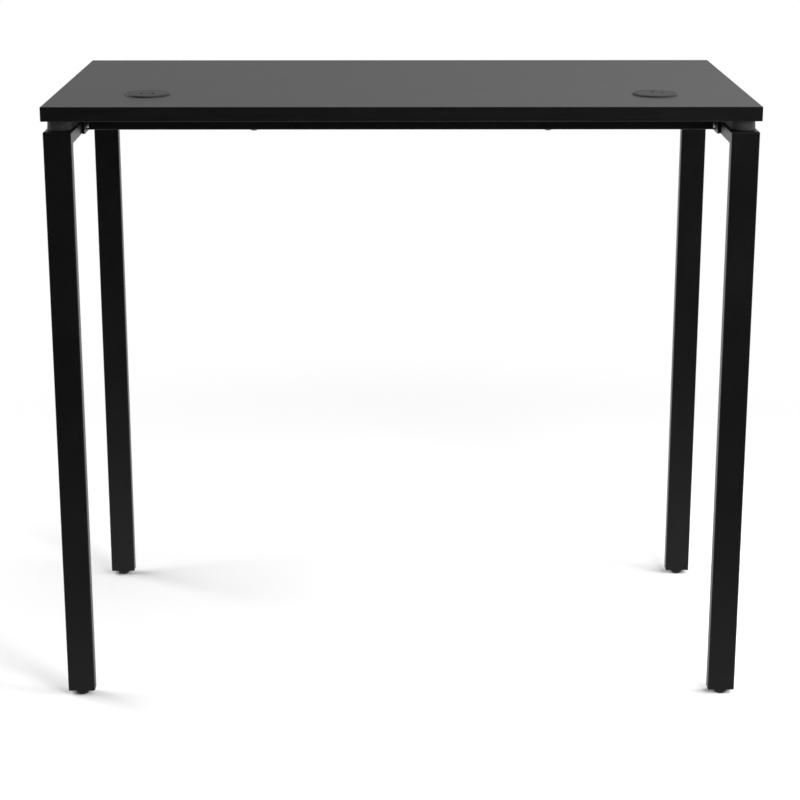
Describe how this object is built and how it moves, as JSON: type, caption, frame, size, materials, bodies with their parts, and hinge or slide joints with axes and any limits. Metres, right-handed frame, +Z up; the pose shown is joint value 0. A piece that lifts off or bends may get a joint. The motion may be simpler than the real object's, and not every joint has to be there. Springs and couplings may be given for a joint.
{
  "type": "standing desk",
  "caption": "Fixed-height standing desk: a rectangular laminate top with cable grommets on an open frame of rectangular steel tube with levelling feet.",
  "frame": {"origin": "on the floor, under the middle of the desktop", "axes": "+X to the right along the desktop's length, +Y away from the long side with the grommets (the pictured side, called the front), +Z up"},
  "size_m": [1.219, 0.61, 1.083],
  "materials": {
    "laminate": "matt black laminate on particle board",
    "edge_band": "matt black plastic edge band",
    "powder_coat": "black fine-texture powder coat on steel tube",
    "spacer_plastic": "satin black moulded plastic",
    "fastener_steel": "zinc-plated steel",
    "nylon": "moulded black nylon",
    "grommet_plastic": "fine-textured moulded black plastic"
  },
  "bodies": {
    "frame": {"desktop_board": "laminate", "edge_band_front": "edge_band", "edge_band_back": "edge_band", "edge_band_left": "edge_band", "edge_band_right": "edge_band", "left_side_rail": "powder_coat", "right_side_rail": "powder_coat", "front_cross_beam": "powder_coat", "back_cross_beam": "powder_coat", "spacer_bolts": "fastener_steel", "beam_screws": "fastener_steel", "beam_bolts": "fastener_steel", "weld_nuts": "fastener_steel", "threaded_inserts": "fastener_steel", "plug_nuts": "fastener_steel", "left_front_leg": "powder_coat", "left_front_beam_plate": "powder_coat", "left_front_spacer": "spacer_plastic", "left_front_leg_plug": "nylon", "left_back_leg": "powder_coat", "left_back_beam_plate": "powder_coat", "left_back_spacer": "spacer_plastic", "left_back_leg_plug": "nylon", "right_front_leg": "powder_coat", "right_front_beam_plate": "powder_coat", "right_front_spacer": "spacer_plastic", "right_front_leg_plug": "nylon", "right_back_leg": "powder_coat", "right_back_beam_plate": "powder_coat", "right_back_spacer": "spacer_plastic", "right_back_leg_plug": "nylon", "left_grommet_liner": "grommet_plastic", "right_grommet_liner": "grommet_plastic"},
    "left_front_foot": {"left_front_foot_pad": "nylon"},
    "left_front_foot_screw": {"left_front_foot_stem": "fastener_steel"},
    "left_back_foot": {"left_back_foot_pad": "nylon"},
    "left_back_foot_screw": {"left_back_foot_stem": "fastener_steel"},
    "right_front_foot": {"right_front_foot_pad": "nylon"},
    "right_front_foot_screw": {"right_front_foot_stem": "fastener_steel"},
    "right_back_foot": {"right_back_foot_pad": "nylon"},
    "right_back_foot_screw": {"right_back_foot_stem": "fastener_steel"},
    "left_cap": {"left_grommet_cap": "grommet_plastic"},
    "left_flap": {"left_cable_flap": "grommet_plastic"},
    "right_cap": {"right_grommet_cap": "grommet_plastic"},
    "right_flap": {"right_cable_flap": "grommet_plastic"}
  },
  "joints": [
    {"name": "left_front_foot_adjust", "type": "slide", "parent": "frame", "child": "left_front_foot", "axis": [0, 0, -1], "range_m": [0, 0.015]},
    {"name": "left_front_foot_turn", "type": "hinge", "parent": "left_front_foot", "child": "left_front_foot_screw", "pos_m": [-0.5835, -0.2875, 0], "axis": [0, 0, -1], "range_deg": [0, 4315]},
    {"name": "left_back_foot_adjust", "type": "slide", "parent": "frame", "child": "left_back_foot", "axis": [0, 0, -1], "range_m": [0, 0.015]},
    {"name": "left_back_foot_turn", "type": "hinge", "parent": "left_back_foot", "child": "left_back_foot_screw", "pos_m": [-0.5835, 0.2875, 0], "axis": [0, 0, -1], "range_deg": [0, 4315]},
    {"name": "right_front_foot_adjust", "type": "slide", "parent": "frame", "child": "right_front_foot", "axis": [0, 0, -1], "range_m": [0, 0.015]},
    {"name": "right_front_foot_turn", "type": "hinge", "parent": "right_front_foot", "child": "right_front_foot_screw", "pos_m": [0.5835, -0.2875, 0], "axis": [0, 0, -1], "range_deg": [0, 4315]},
    {"name": "right_back_foot_adjust", "type": "slide", "parent": "frame", "child": "right_back_foot", "axis": [0, 0, -1], "range_m": [0, 0.015]},
    {"name": "right_back_foot_turn", "type": "hinge", "parent": "right_back_foot", "child": "right_back_foot_screw", "pos_m": [0.5835, 0.2875, 0], "axis": [0, 0, -1], "range_deg": [0, 4315]},
    {"name": "left_cap_lift", "type": "slide", "parent": "frame", "child": "left_cap", "axis": [0, 0, 1], "range_m": [0, 0.03]},
    {"name": "left_flap_swing", "type": "hinge", "parent": "left_cap", "child": "left_flap", "pos_m": [-0.445, -0.164, 1.0814], "axis": [-1, 0, 0], "range_deg": [0, 90]},
    {"name": "right_cap_lift", "type": "slide", "parent": "frame", "child": "right_cap", "axis": [0, 0, 1], "range_m": [0, 0.03]},
    {"name": "right_flap_swing", "type": "hinge", "parent": "right_cap", "child": "right_flap", "pos_m": [0.44693, -0.1587, 1.0814], "axis": [0.766, -0.6428, 0], "range_deg": [0, 90]}
  ],
  "couplings": [
    {"joint": "left_front_foot_adjust", "follows": "left_front_foot_turn", "m_per_rad": 0.00019894},
    {"joint": "left_back_foot_adjust", "follows": "left_back_foot_turn", "m_per_rad": 0.00019894},
    {"joint": "right_front_foot_adjust", "follows": "right_front_foot_turn", "m_per_rad": 0.00019894},
    {"joint": "right_back_foot_adjust", "follows": "right_back_foot_turn", "m_per_rad": 0.00019894}
  ]
}
